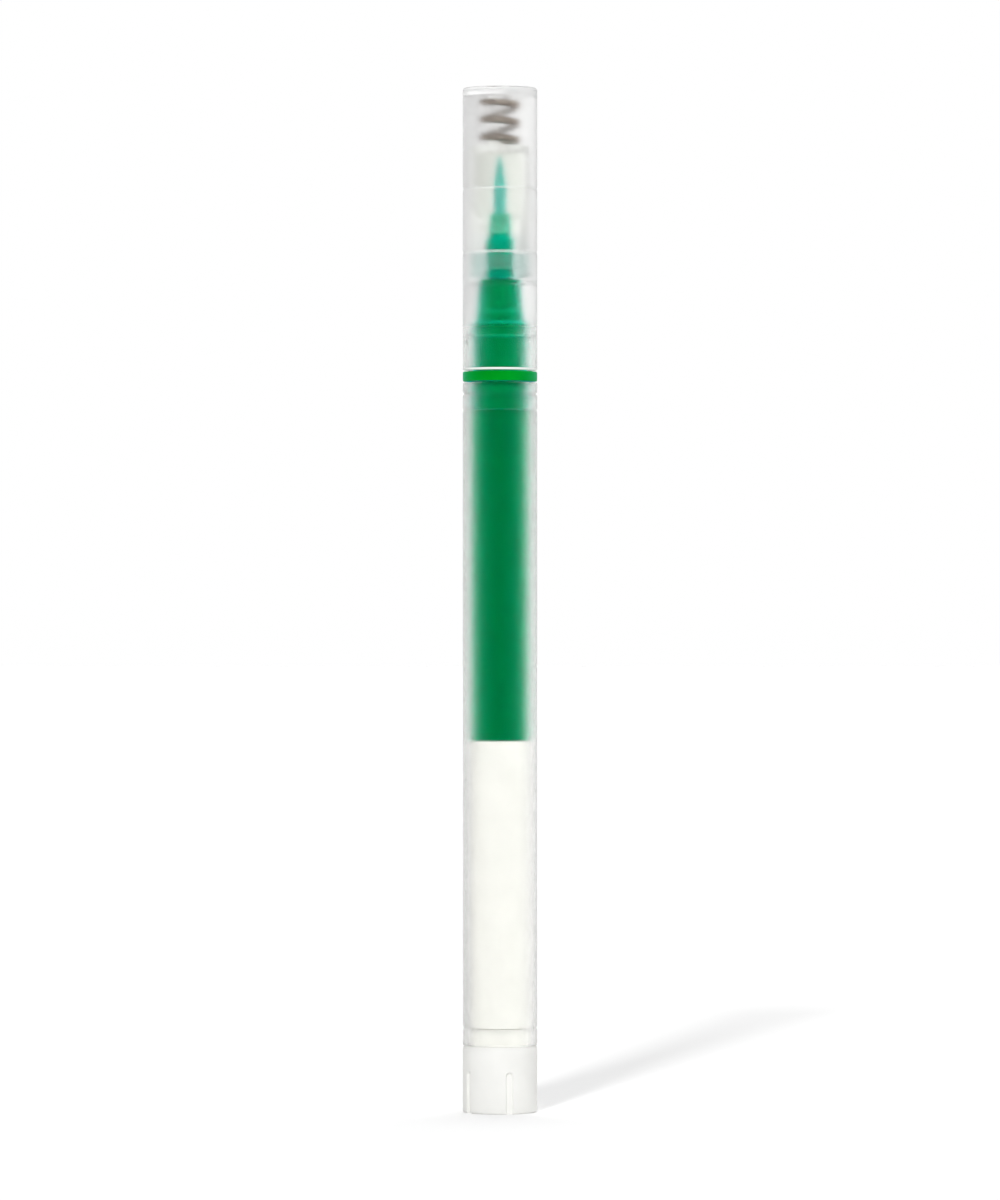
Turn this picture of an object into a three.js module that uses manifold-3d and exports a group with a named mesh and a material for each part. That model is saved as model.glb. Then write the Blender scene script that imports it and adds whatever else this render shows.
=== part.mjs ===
// Liquid eyeliner pen standing on its tail: a frosted barrel over a fibre reservoir, a coloured
// front section with a fibre nib, and a frosted push-on cap that holds a sprung sealing cup.
// Millimetres, +Z up, origin at the centre of the tail's flat foot, front towards -Y.
import * as THREE from "three";
import { mergeVertices } from "three/addons/utils/BufferGeometryUtils.js";
import Module from "manifold-3d";

const wasm = await Module();
wasm.setup();

// Overall sizes
const PEN_DIAMETER = 10;
const BARREL_LENGTH = 88.85;

// Facets of every turned piece, and steps of every rounded corner
const TURN_SEGMENTS = 32;
const CORNER_STEPS = 2;

// Clearances between pieces that fit together
const SEAT_GAP = 0.15; // between faces that butt together
const PLUG_CLEARANCE = 0.06; // plugs in the barrel, on the radius
const CORE_CLEARANCE = 0.05; // reservoir in its film, on the radius
const SLEEVE_CLEARANCE = 0.1; // film and spacer in the barrel, on the radius
const NIB_CLEARANCE = 0.06; // nib in its holder and in the reservoir, on the radius
const SHANK_CLEARANCE = 0.05; // nib holder in the front section, on the radius
const CAP_FIT_CLEARANCE = 0.05; // snap bead in the cap's mouth, on the radius
const SEAL_CLEARANCE = 0.06; // nose bead in the sealing cup, on the radius
const CUP_CLEARANCE = 0.1; // sealing cup in the cap, on the radius
const CAP_GAP = 0.15; // between the cap's rim and the collar
const CUP_SEAT_GAP = 0.2; // between the sealing cup and the front section
const TIP_ROOM = 0.35; // between the nib's point and the sealing cup's ceiling

// Tail plug
const TAIL_HEIGHT = 8.85;
const TAIL_LAND_LENGTH = 2.4; // closes the barrel's bore
const TAIL_SPIGOT_LENGTH = 10; // stands in the spacer
const TAIL_SPIGOT_WALL = 1.1;
const TAIL_SNAP_HEIGHT = 1.2; // of the snap ring's middle, above the barrel's lower end
const TAIL_FLOOR = 2.2;
const FOOT_FILLET = 1.1;
const SLOT_COUNT = 5;
const SLOT_WIDTH = 0.9;
const SLOT_DEPTH = 0.35;
const SLOT_HEIGHT = 5.5;
const SLOT_FIRST_ANGLE = 15; // degrees round from the front towards +X

// Barrel
const BARREL_WALL = 1;
const GROOVE_WIDTH = 0.6;
const GROOVE_DEPTH = 0.12;
const BARREL_TAIL_GROOVE = 2.3; // above the barrel's lower end
const BARREL_TOP_GROOVES = [1.5, 3.7]; // below the barrel's upper end
const EDGE_FILLET = 0.2;
const SNAP_RING_HEIGHT = 0.15; // beads of the plugs, and the barrel's inner grooves for them
const SNAP_RING_WIDTH = 0.8;

// Reservoir, its film, and the spacer that holds it up against the front section
const RESERVOIR_LENGTH = 44.2;
const SLEEVE_WALL = 0.15;
const SPACER_WALL = 0.9;

// Front section
const COLLAR_HEIGHT = 1.35;
const COLLAR_FILLET = 0.25;
const SECTION_LENGTH = 12.15; // above the collar
const SECTION_DIAMETER = 7.3;
const SECTION_TIP_DIAMETER = 5.6;
const SECTION_LOWER_STEP = 6.35; // height above the collar of the step up to the full diameter
const SECTION_UPPER_STEP = 7.9; // height above the collar of the small upper step
const SECTION_STEP_RISE = 0.3;
const SECTION_UPPER_RISE = 0.1; // on the radius
const SECTION_LOWER_RISE = 0.4; // on the radius
const SNAP_BEAD_RISE = 0.1; // holds the cap, on the radius
const SNAP_BEAD_WIDTH = 0.7;
const SNAP_BEAD_HEIGHT = 4.65; // of its middle, above the collar
const PLUG_LENGTH = 3.7; // below the collar, in the barrel
const SECTION_BORE_WALL = 0.6; // round the wide bore, above the collar
const PLUG_BORE_DEPTH = 7.2;

// Nib holder
const HOLDER_LENGTH = 8.7; // above the front section
const HOLDER_TIP_DIAMETER = 2.7;
const NOSE_DIAMETER = 3; // at the foot of the nose, above the bead
const NOSE_BEAD_DIAMETER = 3.8; // seals in the sealing cup
const NOSE_BEAD_LOW = 3.9; // height of the bead's lower edge above the front section
const NOSE_BEAD_HIGH = 5.5;
const NECK_DIAMETER = 3.5;
const HOLDER_FLANGE_DIAMETER = 4.2;
const HOLDER_FLANGE_HEIGHT = 0.9;
const HOLDER_SHANK_DIAMETER = 3.1;
const HOLDER_SHANK_LENGTH = 9;

// Fibre nib
const NIB_DIAMETER = 1.7;
const NIB_EXPOSED = 8;
const NIB_TAPER_LENGTH = 4.4;
const NIB_POINT_RADIUS = 0.16;
const NIB_IN_RESERVOIR = 10;
const NIB_TAPER_STEPS = 7;
const NIB_TAPER_POWER = 1.35; // above 1, the taper is fuller than a plain cone

// Cap and the sealing cup in it
const CAP_WALL = 0.95;
const CAP_END_WALL = 1.05;
const CAP_TOP_FILLET = 0.45;
const CAP_MOUTH_LENGTH = 5.8;
const CAP_GROOVE_DEPTH = 0.08;
const CAP_GROOVES = [15.8, 24.35]; // heights above the cap's rim
const CUP_BEAD_RISE = 0.25; // of the bead that keeps the cup in the cap, on the radius
const CUP_BEAD_WIDTH = 0.5;
const GATE_MARK_DIAMETER = 0.9;
const GATE_MARK_DEPTH = 0.2;
const GATE_MARK_HEIGHT = 3.8; // above the cap's rim
const GATE_MARK_ANGLES = [-60, 120]; // degrees round from the front towards +X
const CUP_END_WALL = 0.9;
const CUP_WALL = 0.95;
const CUP_SEAL_LAND = 1.7;
const CUP_LEAD_IN = 1.2;
const CUP_MID_RISE = 0.29; // of the middle bore over the seal's bore, on the radius
const CUP_MID_BORE_LENGTH = 3.4;
const CUP_STEP = 0.35;

// Cap spring
const SPRING_DIAMETER = 5.6;
const SPRING_WIRE = 0.9;
const SPRING_LENGTH = 6.45;
const SPRING_TURNS = 3;
const SPRING_END_FLATNESS = 0.6; // 0 is an even pitch, towards 1 the end turns lie flat
const SPRING_STEPS_PER_TURN = 16;
const SPRING_SIDES = 6;
const SPRING_BOSS_CLEARANCE = 0.35;
const SPRING_BOSS_HEIGHT = 0.7;

// Radii that follow from the sizes above
const penRadius = PEN_DIAMETER / 2;
const barrelBore = penRadius - BARREL_WALL;
const plugRadius = barrelBore - PLUG_CLEARANCE;
const sleeveRadius = barrelBore - SLEEVE_CLEARANCE;
const sleeveBore = sleeveRadius - SLEEVE_WALL;
const spacerBore = sleeveRadius - SPACER_WALL;
const nibRadius = NIB_DIAMETER / 2;
const sectionRadius = SECTION_DIAMETER / 2;
const mouthBore = sectionRadius + SNAP_BEAD_RISE + CAP_FIT_CLEARANCE;
const capBore = penRadius - CAP_WALL;
const cupRadius = capBore - CUP_CLEARANCE;
const sealBore = NOSE_BEAD_DIAMETER / 2 + SEAL_CLEARANCE;
const springBoss = SPRING_DIAMETER / 2 - SPRING_WIRE - SPRING_BOSS_CLEARANCE;
const shankRadius = HOLDER_SHANK_DIAMETER / 2;

// Heights that follow from the sizes above, from the foot upwards
const tailLandTop = TAIL_HEIGHT + TAIL_LAND_LENGTH;
const tailSpigotTop = tailLandTop + TAIL_SPIGOT_LENGTH;
const barrelBottom = TAIL_HEIGHT + SEAT_GAP;
const barrelTop = barrelBottom + BARREL_LENGTH;
const collarBottom = barrelTop + SEAT_GAP;
const collarTop = collarBottom + COLLAR_HEIGHT;
const plugBottom = collarBottom - PLUG_LENGTH;
const reservoirTop = plugBottom - SEAT_GAP;
const reservoirBottom = reservoirTop - RESERVOIR_LENGTH;
const sectionTop = collarTop + SECTION_LENGTH;
const holderBottom = sectionTop + SEAT_GAP;
const holderTop = holderBottom + HOLDER_LENGTH;
const nibPoint = holderTop + NIB_EXPOSED;
const nibEnd = reservoirTop - NIB_IN_RESERVOIR;
const capRim = collarTop + CAP_GAP;
const cupBottom = sectionTop + CUP_SEAT_GAP;
const cupCeiling = nibPoint + TIP_ROOM;
const cupTop = cupCeiling + CUP_END_WALL;
const springBottom = cupTop + SEAT_GAP;
const springTop = springBottom + SPRING_LENGTH;
const capCeiling = springTop + SEAT_GAP;
const capTop = capCeiling + CAP_END_WALL;
const snapRingTail = barrelBottom + TAIL_SNAP_HEIGHT;
const snapRingTop = barrelTop - BARREL_TOP_GROOVES[0];
const capSnap = collarTop + SNAP_BEAD_HEIGHT;

// The finishes, one per kind of plastic, fibre or wire
const frostedPlastic = new THREE.MeshStandardMaterial({ color: 0xe9ece8, roughness: 0.45, metalness: 0 });
const clearPlastic = new THREE.MeshStandardMaterial({ color: 0xdfe6e4, roughness: 0.2, metalness: 0 });
const whitePlastic = new THREE.MeshStandardMaterial({ color: 0xf6f6f2, roughness: 0.4, metalness: 0 });
const greenPlastic = new THREE.MeshStandardMaterial({ color: 0x039a2c, roughness: 0.35, metalness: 0 });
const greenFibre = new THREE.MeshStandardMaterial({ color: 0x007a3a, roughness: 0.8, metalness: 0 });
const springSteel = new THREE.MeshStandardMaterial({ color: 0x8d8a86, roughness: 0.3, metalness: 1 });

// A turned piece's outline as points. Each corner is [radius, height, fillet], the corners run
// anticlockwise with the material on the left, and a ring's outline closes on itself.
function turnedOutline(corners, isRing) {
  const points = corners.map(([radius, height]) => new THREE.Vector2(radius, height));
  const count = points.length;
  const outline = [];
  corners.forEach(([, , fillet = 0], i) => {
    const hasBothSides = isRing || (i > 0 && i < count - 1);
    if (!fillet || !hasBothSides) {
      outline.push(points[i]);
      return;
    }
    const toward = (neighbour) => {
      const edge = points[(neighbour + count) % count].clone().sub(points[i]);
      return edge.setLength(Math.min(fillet, edge.length() / 2)).add(points[i]);
    };
    const corner = new THREE.QuadraticBezierCurve(toward(i - 1), points[i], toward(i + 1));
    outline.push(...corner.getPoints(CORNER_STEPS));
  });
  return isRing ? [...outline, outline[0].clone()] : outline;
}

function turned(corners, { isRing = false } = {}) {
  const geometry = new THREE.LatheGeometry(turnedOutline(corners, isRing), TURN_SEGMENTS);
  return geometry.rotateX(Math.PI / 2);
}

// A shallow V groove round an outside wall, listed upwards.
function groove(radius, height, depth = GROOVE_DEPTH) {
  return [
    [radius, height - GROOVE_WIDTH / 2],
    [radius - depth, height],
    [radius, height + GROOVE_WIDTH / 2],
  ];
}

// A rounded bead round a wall, listed upwards; a negative rise makes a groove.
function bead(radius, height, rise, width) {
  return [
    [radius, height - width / 2],
    [radius + rise, height - width / 5],
    [radius + rise, height + width / 5],
    [radius, height + width / 2],
  ];
}

// Closed geometry to an exact solid, and back, for cuts.
function toSolid(geometry) {
  const bare = new THREE.BufferGeometry();
  const flat = geometry.index ? geometry.toNonIndexed() : geometry;
  bare.setAttribute("position", flat.getAttribute("position"));
  const merged = mergeVertices(bare, 1e-4);
  const vertProperties = new Float32Array(merged.attributes.position.array);
  const triVerts = new Uint32Array(merged.index.array);
  return new wasm.Manifold(new wasm.Mesh({ numProp: 3, vertProperties, triVerts }));
}

function toGeometry(solid) {
  const mesh = solid.getMesh();
  const geometry = new THREE.BufferGeometry();
  geometry.setAttribute("position", new THREE.BufferAttribute(mesh.vertProperties, 3));
  geometry.setIndex(new THREE.BufferAttribute(mesh.triVerts, 1));
  geometry.computeVertexNormals();
  return geometry;
}

function cutFrom(geometry, cutters) {
  return toGeometry(cutters.reduce((solid, cutter) => solid.subtract(toSolid(cutter)), toSolid(geometry)));
}

// Turns a piece made at the front, at -Y, round the pen's axis towards +X.
function turnedRound(geometry, degrees) {
  return geometry.rotateZ(THREE.MathUtils.degToRad(degrees));
}

// One slot in the tail: a flat-bottomed channel with a round upper end, open at the foot.
function slotCutter(angle) {
  const half = SLOT_WIDTH / 2;
  const shape = new THREE.Shape();
  const reach = SLOT_DEPTH * 3; // the cutter starts below the foot and outside the wall
  shape.moveTo(-half, -reach);
  shape.lineTo(half, -reach);
  shape.lineTo(half, SLOT_HEIGHT - half);
  shape.absarc(0, SLOT_HEIGHT - half, half, 0, Math.PI);
  const options = { depth: SLOT_DEPTH + reach, bevelEnabled: false, curveSegments: 6 };
  const geometry = new THREE.ExtrudeGeometry(shape, options);
  geometry.rotateX(Math.PI / 2); // the channel now runs up Z, and its depth along -Y
  geometry.translate(0, -(penRadius - SLOT_DEPTH), 0);
  return turnedRound(geometry, angle);
}

function tailPlug() {
  const spigot = spacerBore - PLUG_CLEARANCE;
  const bore = spigot - TAIL_SPIGOT_WALL;
  const body = turned([
    [0, 0],
    [penRadius, 0, FOOT_FILLET],
    [penRadius, TAIL_HEIGHT, EDGE_FILLET],
    [plugRadius, TAIL_HEIGHT],
    ...bead(plugRadius, snapRingTail, SNAP_RING_HEIGHT, SNAP_RING_WIDTH),
    [plugRadius, tailLandTop],
    [spigot, tailLandTop],
    [spigot, tailSpigotTop, EDGE_FILLET],
    [bore, tailSpigotTop],
    [bore, TAIL_FLOOR],
    [0, TAIL_FLOOR],
  ]);
  const angles = Array.from({ length: SLOT_COUNT }, (_, i) => SLOT_FIRST_ANGLE + (i * 360) / SLOT_COUNT);
  return cutFrom(body, angles.map(slotCutter));
}

function barrel() {
  const innerGroove = (height) =>
    bead(barrelBore, height, SNAP_RING_HEIGHT, SNAP_RING_WIDTH).reverse();
  const topGrooves = BARREL_TOP_GROOVES.map((drop) => barrelTop - drop).reverse();
  const grooveHeights = [barrelBottom + BARREL_TAIL_GROOVE, ...topGrooves];
  return turned(
    [
      [barrelBore, barrelBottom],
      [penRadius, barrelBottom, EDGE_FILLET],
      ...grooveHeights.flatMap((height) => groove(penRadius, height)),
      [penRadius, barrelTop, EDGE_FILLET],
      [barrelBore, barrelTop],
      ...innerGroove(snapRingTop),
      ...innerGroove(snapRingTail),
    ],
    { isRing: true },
  );
}

function spacerTube() {
  const bottom = tailLandTop + SEAT_GAP;
  const top = reservoirBottom - SEAT_GAP;
  return turned(
    [
      [spacerBore, bottom],
      [sleeveRadius, bottom],
      [sleeveRadius, top],
      [spacerBore, top],
    ],
    { isRing: true },
  );
}

function reservoirCore() {
  const radius = sleeveBore - CORE_CLEARANCE;
  const hole = nibRadius + NIB_CLEARANCE;
  const holeBottom = nibEnd - SEAT_GAP;
  return turned([
    [0, reservoirBottom],
    [radius, reservoirBottom],
    [radius, reservoirTop],
    [hole, reservoirTop],
    [hole, holeBottom],
    [0, holeBottom],
  ]);
}

function reservoirSleeve() {
  return turned(
    [
      [sleeveBore, reservoirBottom],
      [sleeveRadius, reservoirBottom],
      [sleeveRadius, reservoirTop],
      [sleeveBore, reservoirTop],
    ],
    { isRing: true },
  );
}

function frontSection() {
  const shankBore = shankRadius + SHANK_CLEARANCE;
  const tipRadius = SECTION_TIP_DIAMETER / 2;
  const lowerStep = collarTop + SECTION_LOWER_STEP;
  const upperStep = collarTop + SECTION_UPPER_STEP;
  const plugBore = sectionRadius - SECTION_BORE_WALL;
  const aboveLower = sectionRadius - SECTION_LOWER_RISE;
  const belowUpper = aboveLower - SECTION_UPPER_RISE;
  const aboveUpper = belowUpper - SECTION_UPPER_RISE;
  return turned(
    [
      [plugBore, plugBottom],
      [plugRadius, plugBottom, EDGE_FILLET],
      ...bead(plugRadius, snapRingTop, SNAP_RING_HEIGHT, SNAP_RING_WIDTH),
      [plugRadius, collarBottom],
      [penRadius, collarBottom, COLLAR_FILLET],
      [penRadius, collarTop, COLLAR_FILLET],
      [sectionRadius, collarTop],
      ...bead(sectionRadius, capSnap, SNAP_BEAD_RISE, SNAP_BEAD_WIDTH),
      [sectionRadius, lowerStep],
      [aboveLower, lowerStep + SECTION_STEP_RISE],
      [belowUpper, upperStep],
      [aboveUpper, upperStep + SECTION_STEP_RISE],
      [tipRadius, sectionTop, EDGE_FILLET],
      [shankBore, sectionTop],
      [shankBore, plugBottom + PLUG_BORE_DEPTH],
      [plugBore, plugBottom + PLUG_BORE_DEPTH],
    ],
    { isRing: true },
  );
}

function nibHolder() {
  const bore = nibRadius + NIB_CLEARANCE;
  const beadRadius = NOSE_BEAD_DIAMETER / 2;
  const neck = NECK_DIAMETER / 2;
  return turned(
    [
      [bore, sectionTop - HOLDER_SHANK_LENGTH],
      [shankRadius, sectionTop - HOLDER_SHANK_LENGTH],
      [shankRadius, holderBottom],
      [HOLDER_FLANGE_DIAMETER / 2, holderBottom],
      [neck, holderBottom + HOLDER_FLANGE_HEIGHT],
      [neck, holderBottom + NOSE_BEAD_LOW - SEAT_GAP],
      [beadRadius, holderBottom + NOSE_BEAD_LOW, EDGE_FILLET],
      [beadRadius, holderBottom + NOSE_BEAD_HIGH - SEAT_GAP, EDGE_FILLET],
      [NOSE_DIAMETER / 2, holderBottom + NOSE_BEAD_HIGH],
      [HOLDER_TIP_DIAMETER / 2, holderTop, EDGE_FILLET],
      [bore, holderTop],
    ],
    { isRing: true },
  );
}

// The nib's taper is a power curve from its full radius down to its rounded point.
function fibreNib() {
  const taperBottom = nibPoint - NIB_TAPER_LENGTH;
  const taperTop = nibPoint - NIB_POINT_RADIUS;
  const taper = Array.from({ length: NIB_TAPER_STEPS + 1 }, (_, i) => {
    const along = i / NIB_TAPER_STEPS;
    const radius = NIB_POINT_RADIUS + (nibRadius - NIB_POINT_RADIUS) * (1 - along ** NIB_TAPER_POWER);
    return [radius, THREE.MathUtils.lerp(taperBottom, taperTop, along)];
  });
  return turned([[0, nibEnd], [nibRadius, nibEnd], ...taper, [0, nibPoint]]);
}

// A blind round mark sunk into the cap's wall where the plastic was fed in.
function gateMarkCutter(angle) {
  const reach = penRadius;
  const geometry = new THREE.CylinderGeometry(GATE_MARK_DIAMETER / 2, GATE_MARK_DIAMETER / 2, reach, 12);
  geometry.translate(0, -(penRadius - GATE_MARK_DEPTH + reach / 2), capRim + GATE_MARK_HEIGHT);
  return turnedRound(geometry, angle);
}

function capShell() {
  const mouthTop = capRim + CAP_MOUTH_LENGTH;
  const cupBead = cupBottom - SEAT_GAP - CUP_BEAD_WIDTH / 2;
  const boss = springTop - SPRING_BOSS_HEIGHT;
  const body = turned([
    [0, boss],
    [springBoss, boss, EDGE_FILLET],
    [springBoss, capCeiling],
    [capBore, capCeiling, EDGE_FILLET],
    ...bead(capBore, cupBead, -CUP_BEAD_RISE, CUP_BEAD_WIDTH).reverse(),
    [capBore, mouthTop],
    [mouthBore, mouthTop, EDGE_FILLET],
    ...bead(mouthBore, capSnap, SNAP_BEAD_RISE, SNAP_BEAD_WIDTH).reverse(),
    [mouthBore, capRim, EDGE_FILLET],
    [penRadius, capRim, EDGE_FILLET],
    ...CAP_GROOVES.flatMap((height) => groove(penRadius, capRim + height, CAP_GROOVE_DEPTH)),
    [penRadius, capTop, CAP_TOP_FILLET],
    [0, capTop],
  ]);
  return cutFrom(body, GATE_MARK_ANGLES.map(gateMarkCutter));
}

function sealingCup() {
  const leadIn = Math.max(HOLDER_FLANGE_DIAMETER / 2, sealBore) + SEAL_CLEARANCE;
  const landBottom = holderBottom + NOSE_BEAD_LOW - CUP_STEP;
  const landTop = landBottom + CUP_SEAL_LAND;
  const midTop = landTop + CUP_MID_BORE_LENGTH;
  const midBore = sealBore + CUP_MID_RISE;
  const wideBore = cupRadius - CUP_WALL;
  return turned([
    [0, cupCeiling],
    [wideBore, cupCeiling, EDGE_FILLET],
    [wideBore, midTop],
    [midBore, midTop - CUP_STEP],
    [midBore, landTop + CUP_STEP],
    [sealBore, landTop],
    [sealBore, landBottom],
    [sealBore + SEAL_CLEARANCE, landBottom - CUP_STEP],
    [sealBore + SEAL_CLEARANCE, cupBottom + CUP_LEAD_IN],
    [leadIn, cupBottom],
    [cupRadius, cupBottom, EDGE_FILLET],
    [cupRadius, cupTop, EDGE_FILLET],
    [springBoss, cupTop],
    [springBoss, springBottom + SPRING_BOSS_HEIGHT, EDGE_FILLET],
    [0, springBottom + SPRING_BOSS_HEIGHT],
  ]);
}

// The spring's centreline: a left-hand helix that starts at the back and whose pitch eases off
// towards both ends.
class SpringLine extends THREE.Curve {
  getPoint(along, target = new THREE.Vector3()) {
    const radius = (SPRING_DIAMETER - SPRING_WIRE) / 2;
    const rise = SPRING_LENGTH - SPRING_WIRE;
    const eased = along - (SPRING_END_FLATNESS * Math.sin(2 * Math.PI * along)) / (2 * Math.PI);
    const angle = Math.PI / 2 - 2 * Math.PI * SPRING_TURNS * along;
    const height = springBottom + SPRING_WIRE / 2 + rise * eased;
    return target.set(radius * Math.cos(angle), radius * Math.sin(angle), height);
  }
}

// The smallest free space between turns of the wire, measured on points of its centreline.
function leastSpringGap(points) {
  const halfTurn = SPRING_STEPS_PER_TURN / 2;
  let least = Infinity;
  points.forEach((point, i) => {
    points.slice(i + halfTurn).forEach((other) => {
      least = Math.min(least, point.distanceTo(other) - SPRING_WIRE);
    });
  });
  return least;
}

function capSpring() {
  const line = new SpringLine();
  const steps = SPRING_TURNS * SPRING_STEPS_PER_TURN;
  const section = new THREE.Shape().absarc(0, 0, SPRING_WIRE / 2, 0, 2 * Math.PI);
  console.log(`least gap between spring turns: ${leastSpringGap(line.getPoints(steps)).toFixed(2)} mm`);
  return new THREE.ExtrudeGeometry(section, { steps, curveSegments: SPRING_SIDES, extrudePath: line });
}

function piece(name, geometry, material) {
  const mesh = new THREE.Mesh(geometry, material);
  mesh.name = name;
  return mesh;
}

const penBody = new THREE.Group().add(
  piece("tail_plug", tailPlug(), whitePlastic),
  piece("barrel", barrel(), frostedPlastic),
  piece("spacer_tube", spacerTube(), whitePlastic),
  piece("reservoir_core", reservoirCore(), greenFibre),
  piece("reservoir_sleeve", reservoirSleeve(), clearPlastic),
  piece("front_section", frontSection(), greenPlastic),
  piece("nib_holder", nibHolder(), greenPlastic),
  piece("fibre_nib", fibreNib(), greenFibre),
);

const cap = new THREE.Group().add(
  piece("cap_shell", capShell(), frostedPlastic),
  piece("sealing_cup", sealingCup(), clearPlastic),
  piece("cap_spring", capSpring(), springSteel),
);

export default new THREE.Group().add(penBody, cap);
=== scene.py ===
"""Liquid eyeliner pen standing on its tail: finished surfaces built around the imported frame.

Sizes are in millimetres until a mesh is made, and the frame's own units are metres.
"""
import math
import random

import bmesh
import bpy
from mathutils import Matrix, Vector

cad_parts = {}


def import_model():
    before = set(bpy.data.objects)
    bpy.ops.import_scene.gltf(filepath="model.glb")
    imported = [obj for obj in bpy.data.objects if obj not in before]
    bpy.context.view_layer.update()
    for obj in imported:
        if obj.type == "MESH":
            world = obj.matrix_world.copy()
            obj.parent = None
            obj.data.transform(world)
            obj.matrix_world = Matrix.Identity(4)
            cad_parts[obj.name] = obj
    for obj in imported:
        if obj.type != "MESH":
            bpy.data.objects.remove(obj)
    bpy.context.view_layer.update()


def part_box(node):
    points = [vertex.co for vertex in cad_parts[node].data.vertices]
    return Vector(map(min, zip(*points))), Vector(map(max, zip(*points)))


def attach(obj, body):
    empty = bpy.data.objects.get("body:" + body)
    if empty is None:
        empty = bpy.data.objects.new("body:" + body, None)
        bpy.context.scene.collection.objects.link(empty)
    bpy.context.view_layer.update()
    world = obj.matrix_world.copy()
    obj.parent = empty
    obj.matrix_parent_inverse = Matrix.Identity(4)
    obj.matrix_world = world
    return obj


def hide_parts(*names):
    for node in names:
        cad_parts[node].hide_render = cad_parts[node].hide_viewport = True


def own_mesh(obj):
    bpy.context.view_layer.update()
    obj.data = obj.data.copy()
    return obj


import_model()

MM = 0.001


def heights(node):
    """The lowest and highest point of a CAD node, in millimetres."""
    low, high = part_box(node)
    return low.z / MM, high.z / MM


def radius_of(node):
    """The largest radius of a CAD node about the pen's axis, in millimetres."""
    low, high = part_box(node)
    return (high.x - low.x) / 2 / MM


# Sizes that the frame gives
TAIL_BOTTOM, TAIL_SPIGOT_TOP = heights("tail_plug")
BARREL_BOTTOM, BARREL_TOP = heights("barrel")
SPACER_BOTTOM, SPACER_TOP = heights("spacer_tube")
CORE_BOTTOM, CORE_TOP = heights("reservoir_core")
SECTION_BOTTOM, SECTION_TOP = heights("front_section")
HOLDER_BOTTOM, HOLDER_TOP = heights("nib_holder")
NIB_END, NIB_POINT = heights("fibre_nib")
CAP_RIM, CAP_TOP = heights("cap_shell")
CUP_BOTTOM, CUP_BOSS_TOP = heights("sealing_cup")
SPRING_BOTTOM, SPRING_TOP = heights("cap_spring")
PEN_RADIUS = radius_of("barrel")
SLEEVE_RADIUS = radius_of("reservoir_sleeve")
CUP_RADIUS = radius_of("sealing_cup")
SPRING_RADIUS = radius_of("cap_spring")
NIB_RADIUS = radius_of("fibre_nib")
FLANGE_RADIUS = radius_of("nib_holder")

# Sizes of the finer shape, as in the solids
SEAT_GAP = 0.15
FIT_GAP = 0.06
BARREL_WALL = 1
SPACER_WALL = 0.9
SECTION_WALL = 0.6
CAP_WALL = 0.95
CUP_WALL = 0.95
CUP_CROWN = 0.9
COLLAR_HEIGHT = 1.35
TAIL_HEIGHT = BARREL_BOTTOM - SEAT_GAP
BARREL_BORE = PEN_RADIUS - BARREL_WALL
PLUG_RADIUS = BARREL_BORE - FIT_GAP
SPACER_BORE = SLEEVE_RADIUS - SPACER_WALL
COLLAR_BOTTOM = BARREL_TOP + SEAT_GAP
COLLAR_TOP = COLLAR_BOTTOM + COLLAR_HEIGHT
HOLDER_SEAT = SECTION_TOP + SEAT_GAP
SECTION_RADIUS = 3.65
SNAP_HEIGHT = COLLAR_TOP + 4.65
SNAP_DEPTH = 0.1
SNAP_WIDTH = 0.7
CAP_BORE = PEN_RADIUS - CAP_WALL
CAP_CEILING = SPRING_TOP + SEAT_GAP
MOUTH_BORE = SECTION_RADIUS + SEAT_GAP
MOUTH_TOP = CAP_RIM + 5.8
SPRING_WIRE = 0.9
SPRING_TURNS = 3
BOSS_GAP = 0.35
SPRING_BOSS = SPRING_RADIUS - SPRING_WIRE - BOSS_GAP
CUP_TOP = SPRING_BOTTOM - SEAT_GAP
CUP_CEILING = CUP_TOP - CUP_CROWN
NIB_BORE = NIB_RADIUS + FIT_GAP
BARREL_GROOVES = [BARREL_BOTTOM + 2.3, BARREL_TOP - 3.7, BARREL_TOP - 1.5]
CAP_GROOVES = [CAP_RIM + 15.8, CAP_RIM + 24.35]
GROOVE_WIDTH = 0.7
BARREL_GROOVE_DEPTHS = [0.12, 0.12, 0.2]
CAP_GROOVE_DEPTH = 0.08

# Finer than the solids: a thin film on a full core, and a spring whose turns lie flatter in front
FILM_WALL = 0.04
FILM_GAP = 0.02
CORE_RADIUS = SLEEVE_RADIUS - FILM_WALL - FILM_GAP
SPRING_EVENNESS = 0.45
SPRING_CLIMB = 0.3

# Fillets
TIGHT_EDGE = 0.05
FINE_EDGE = 0.1
LIGHT_EDGE = 0.15
SOFT_EDGE = 0.2
COLLAR_EDGE = 0.25
ROUND_EDGE = 0.3
CAP_END_EDGE = 0.45
CUP_LIP_EDGE = 0.6
MOUTH_EDGE = 0.7

# Fineness of the meshes
SEGMENTS = 128
ARC_STEPS = 6
DIP_STEPS = 9
ANGLE_DIGITS = 5
SHARP_ANGLE = math.radians(35)
ON_AXIS = 1e-6


def smooth_step(value, start, end):
    share = min(max((value - start) / (end - start), 0), 1)
    return share * share * (3 - 2 * share)


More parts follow.
